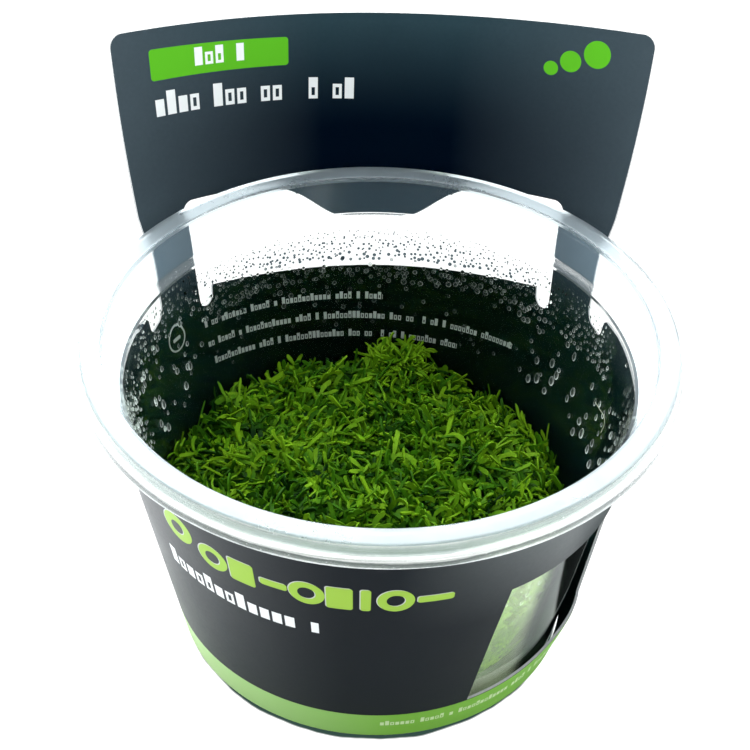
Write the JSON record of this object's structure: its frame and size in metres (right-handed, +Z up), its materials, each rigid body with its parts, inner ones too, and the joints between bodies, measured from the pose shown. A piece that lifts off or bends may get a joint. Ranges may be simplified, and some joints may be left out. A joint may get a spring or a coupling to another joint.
{
  "type": "aquarium plant tissue culture cup",
  "caption": "Crystalwort grown in a clear tapered cup with a wide rim, held in a wrapped card sleeve with a tall back board and a side window.",
  "frame": {"origin": "middle of the cup's base, on the plane that it stands on", "axes": "+Z up out of the cup's mouth, -Y towards the front of the sleeve, +Y towards the back board"},
  "size_m": [0.101, 0.1026, 0.0937],
  "materials": {
    "clear_plastic": "clear and glossy",
    "printed_card": "coated print with a low sheen",
    "clear_jelly": "wet and clear",
    "green_plant": "moist and slightly shiny"
  },
  "bodies": {
    "root": {"cup": "clear_plastic", "sleeve": "printed_card", "nutrient_gel": "clear_jelly", "crystalwort_mat": "green_plant"}
  },
  "joints": []
}
